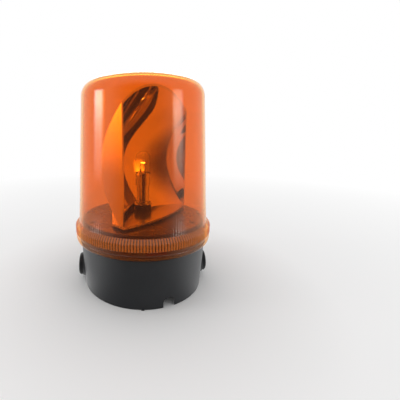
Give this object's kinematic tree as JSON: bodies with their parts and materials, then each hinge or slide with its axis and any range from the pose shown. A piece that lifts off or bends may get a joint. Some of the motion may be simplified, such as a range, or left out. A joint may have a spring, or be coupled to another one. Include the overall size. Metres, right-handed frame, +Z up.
{
  "type": "rotating mirror warning light",
  "caption": "Amber warning beacon: a dark round base carries a motor-driven mirror that turns round an upright lamp under a lift-off ribbed-collar dome.",
  "frame": {"origin": "centre of the underside, on the upright axis of the lamp and rotor", "axes": "+Z up along the rotor axis; -Y is the front, where the cable notch opens; +X and -X are the sides with the blanking plugs"},
  "size_m": [0.15, 0.15, 0.224],
  "materials": {
    "housing": "satin",
    "black_plastic": "satin",
    "seal_rubber": "matte",
    "amber_lens": "gloss",
    "deck": "gloss",
    "bright_metal": "polished",
    "steel": "satin",
    "brass": "satin",
    "mirror": "polished",
    "nylon": "satin",
    "terminal_plastic": "satin",
    "lamp_glass": "gloss",
    "filament": "satin",
    "capacitor": "satin",
    "wire_insulation": "satin",
    "rotor_plastic": "satin"
  },
  "bodies": {
    "base": {"base_housing": "housing", "cable_grommet": "seal_rubber", "left_plug_seal": "seal_rubber", "right_plug_seal": "seal_rubber", "terminal_block": "terminal_plastic", "terminal_clamps": "brass", "terminal_screws": "steel", "chassis_plate": "deck", "chassis_screws": "steel", "lamp_post": "bright_metal", "post_nut": "steel", "lampholder_shell": "bright_metal", "contact_insulator": "terminal_plastic", "contact_springs": "steel", "thrust_washer": "nylon", "retaining_washer": "bright_metal", "retaining_clip": "steel", "motor_can": "steel", "motor_end_cap": "black_plastic", "motor_screws": "steel", "suppressor": "capacitor", "lamp_wires": "wire_insulation", "motor_wires": "wire_insulation"},
    "seal": {"dome_seal": "seal_rubber"},
    "dome": {"amber_dome": "amber_lens"},
    "left_plug": {"left_blanking_plug": "black_plastic"},
    "right_plug": {"right_blanking_plug": "black_plastic"},
    "rotor": {"rotor_hub": "black_plastic", "hub_bush": "brass", "rotor_gear": "nylon", "turntable": "rotor_plastic", "reflector": "mirror", "reflector_screws": "steel"},
    "motor_drive": {"motor_shaft": "steel", "motor_pinion": "nylon"},
    "lamp": {"lamp_cap": "brass", "lamp_glass": "lamp_glass", "filament_supports": "steel", "filament": "filament"},
    "contacts": {"contact_plungers": "brass"}
  },
  "joints": [
    {"name": "rotor_spin", "type": "hinge", "parent": "base", "child": "rotor", "pos_m": [0, 0, 0.078], "axis": [0, 0, 1], "continuous": true},
    {"name": "motor_spin", "type": "hinge", "parent": "base", "child": "motor_drive", "pos_m": [-0.01188, 0.02234, 0.07], "axis": [0, 0, 1], "continuous": true},
    {"name": "dome_twist", "type": "hinge", "parent": "base", "child": "seal", "pos_m": [0, 0, 0.0525], "axis": [0, 0, 1], "range_deg": [-40, 0]},
    {"name": "dome_lift", "type": "slide", "parent": "seal", "child": "dome", "axis": [0, 0, 1], "range_m": [0, 0.17]},
    {"name": "lamp_pull", "type": "slide", "parent": "base", "child": "lamp", "axis": [0, 0, 1], "range_m": [0, 0.02]},
    {"name": "contact_press", "type": "slide", "parent": "base", "child": "contacts", "axis": [0, 0, 1], "range_m": [-0.0014, 0], "stiffness_N_per_m": 400, "deforming": ["contact_springs"]},
    {"name": "left_plug_pull", "type": "slide", "parent": "base", "child": "left_plug", "axis": [-0.9976, -0.0698, 0], "range_m": [0, 0.02]},
    {"name": "right_plug_pull", "type": "slide", "parent": "base", "child": "right_plug", "axis": [0.9976, 0.0698, 0], "range_m": [0, 0.02]}
  ],
  "couplings": [
    {"joint": "motor_spin", "follows": "rotor_spin", "ratio": -3.2}
  ]
}
